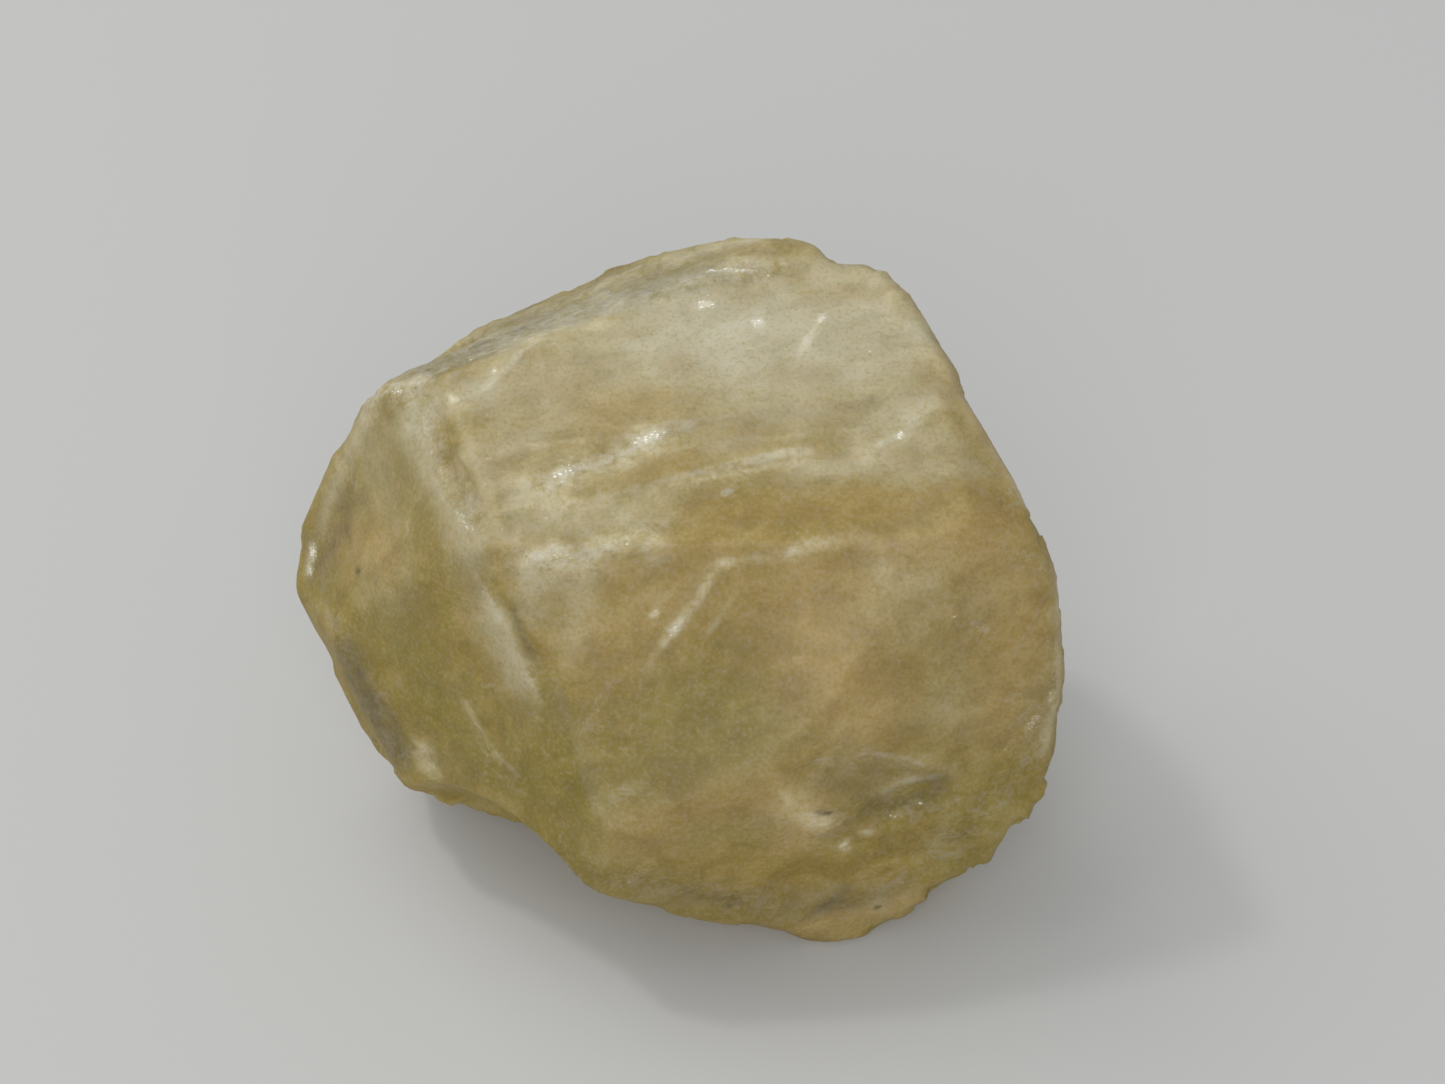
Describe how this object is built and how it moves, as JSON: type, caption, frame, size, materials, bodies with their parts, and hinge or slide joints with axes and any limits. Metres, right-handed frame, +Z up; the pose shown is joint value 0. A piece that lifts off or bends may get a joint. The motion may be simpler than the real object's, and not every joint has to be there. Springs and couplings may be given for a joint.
{
  "type": "sanidine crystal",
  "caption": "Rough chunk of one honey-yellow, milky sanidine feldspar crystal with cleavage faces, ledges and shell-shaped chips.",
  "frame": {"origin": "middle of the bounding box, on the flat face that the crystal rests on", "axes": "+Z up from the surface it rests on, +X along its longest side, -Y towards the broad front faces"},
  "size_m": [0.024, 0.0176, 0.0175],
  "materials": {
    "sanidine": "vitreous, milky and see-through at its thin edges"
  },
  "bodies": {
    "root": {"sanidine_crystal": "sanidine"}
  },
  "joints": []
}
